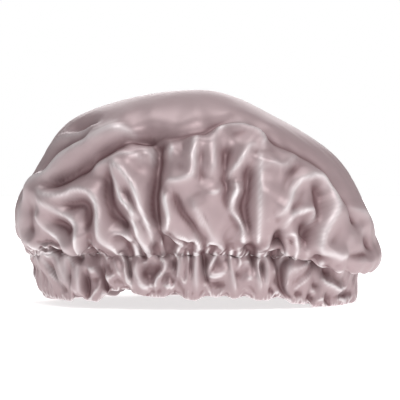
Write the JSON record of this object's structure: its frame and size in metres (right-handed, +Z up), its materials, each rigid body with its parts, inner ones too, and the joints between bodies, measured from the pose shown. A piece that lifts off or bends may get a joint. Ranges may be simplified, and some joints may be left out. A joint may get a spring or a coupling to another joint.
{
  "type": "sleep bonnet",
  "caption": "Satin sleep bonnet: a soft puffed crown of folded cloth, gathered onto a ruffled elasticated band and open below for the head.",
  "frame": {"origin": "middle of the bonnet's footprint, on the surface that its band stands on", "axes": "+Z up, from the band towards the top of the crown; -Y is the front that the picture shows; +X is to the viewer's right"},
  "size_m": [0.2434, 0.177, 0.138],
  "materials": {
    "crown_satin": "satin, dusty mauve pink",
    "band_satin": "satin, dusty mauve pink, gathered over an elastic"
  },
  "bodies": {
    "root": {"crown": "crown_satin", "band": "band_satin"}
  },
  "joints": []
}
